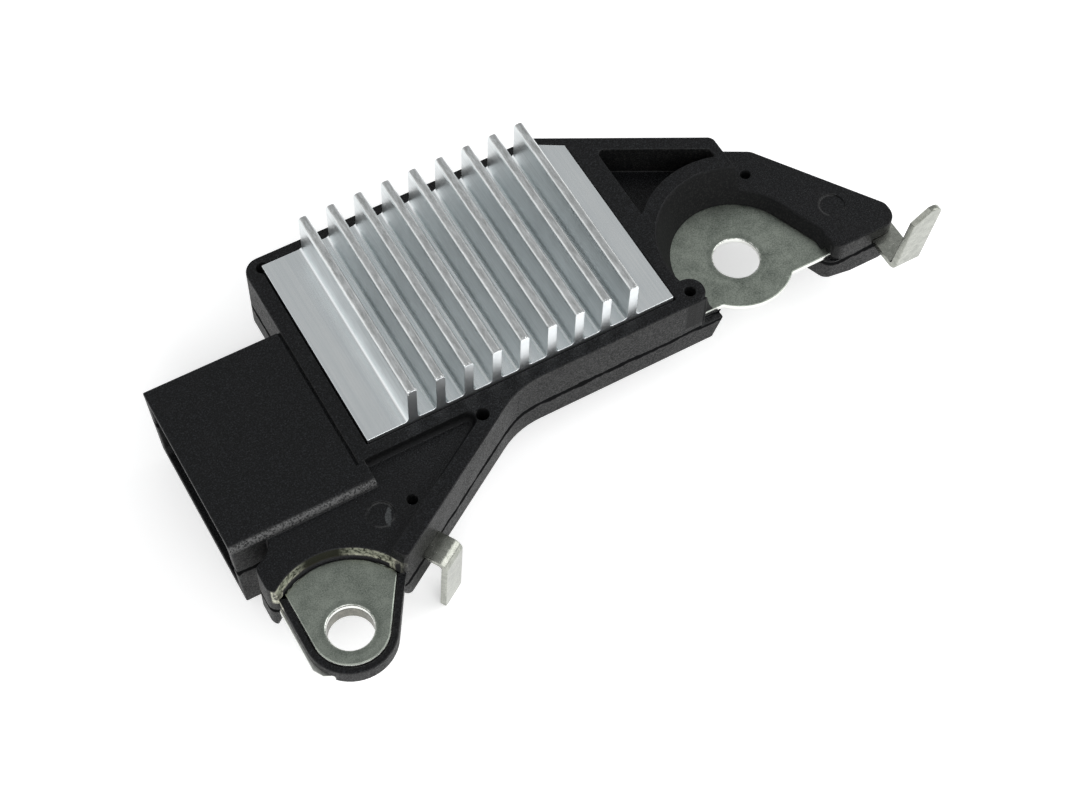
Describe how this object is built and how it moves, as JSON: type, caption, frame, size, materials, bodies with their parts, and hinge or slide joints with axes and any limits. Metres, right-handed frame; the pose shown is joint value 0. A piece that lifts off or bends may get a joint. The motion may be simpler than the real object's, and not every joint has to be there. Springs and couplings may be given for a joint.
{
  "type": "alternator voltage regulator",
  "caption": "Alternator voltage regulator: black moulded housing with a finned aluminium heat sink, a side connector socket, screw eyes and bent contact tabs.",
  "frame": {"origin": "axis of the lower fixing hole on the mounting plane, which is the underside of the lead plates", "axes": "+Z out of the mounting plane towards the heat sink's fins, +X along the heat sink's long side, away from the connector socket, +Y along the fins"},
  "size_m": [0.1017, 0.0581, 0.0249],
  "materials": {
    "housing_plastic": "glass-filled black moulding, satin tops and grainy side walls",
    "sink_aluminium": "drawn aluminium with long streaks along the fins",
    "plated_steel": "zinc-plated sheet, satin, slightly green",
    "tinned_lead": "tin-plated copper alloy, bright",
    "sleeve_metal": "turned copper alloy sleeve",
    "cover_plastic": "matt black moulding",
    "gel": "soft clear-grey gel",
    "adhesive": "white heat-conducting adhesive",
    "board_ceramic": "white fired ceramic",
    "copper": "bare copper",
    "chip_plastic": "dark chip",
    "capacitor_ceramic": "tan ceramic",
    "wire_aluminium": "drawn wire"
  },
  "bodies": {
    "root": {"housing": "housing_plastic", "heat_sink": "sink_aluminium", "lower_ear_plate": "plated_steel", "lower_ear_sleeve": "sleeve_metal", "upper_ring_terminal": "plated_steel", "right_tab_lead": "tinned_lead", "lower_tab_lead": "tinned_lead", "lower_ear_lead": "plated_steel", "connector_pin_1": "tinned_lead", "connector_pin_2": "tinned_lead", "connector_pin_3": "tinned_lead", "connector_pin_4": "tinned_lead", "back_cover": "cover_plastic", "potting_gel": "gel", "thermal_adhesive": "adhesive", "ceramic_substrate": "board_ceramic", "copper_spreader": "copper", "driver_transistor": "chip_plastic", "control_chip": "chip_plastic", "freewheel_diode": "chip_plastic", "filter_capacitor_1": "capacitor_ceramic", "filter_capacitor_2": "capacitor_ceramic", "divider_resistor_1": "chip_plastic", "divider_resistor_2": "chip_plastic", "bond_wires": "wire_aluminium"}
  },
  "joints": []
}
